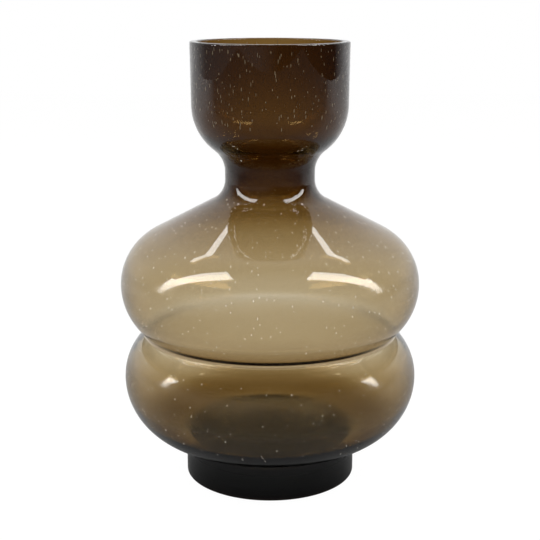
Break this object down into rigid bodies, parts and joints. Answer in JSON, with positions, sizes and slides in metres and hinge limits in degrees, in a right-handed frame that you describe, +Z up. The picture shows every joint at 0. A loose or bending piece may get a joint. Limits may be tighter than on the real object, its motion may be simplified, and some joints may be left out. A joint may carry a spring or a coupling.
{
  "type": "vase",
  "caption": "Mouth-blown smoke-brown glass vase: stacked round bulbs with a pinched waist, narrow neck, straight-sided mouth cup and a solid dark foot; holds cut stems in water.",
  "frame": {"origin": "centre of the flat face that the foot stands on", "axes": "+Z up along the vase's axis; -Y towards the picture's camera, +X to the picture's right"},
  "size_m": [0.2044, 0.2044, 0.3],
  "materials": {
    "foot_glass": "solid smoke-brown glass, so thick that it looks almost black, polished",
    "smoke_glass": "clear smoke-brown blown glass with seed bubbles, fire-polished"
  },
  "bodies": {
    "root": {"foot": "foot_glass", "lower_bulb": "smoke_glass", "upper_bulb": "smoke_glass", "neck": "smoke_glass", "mouth_cup": "smoke_glass"}
  },
  "joints": []
}
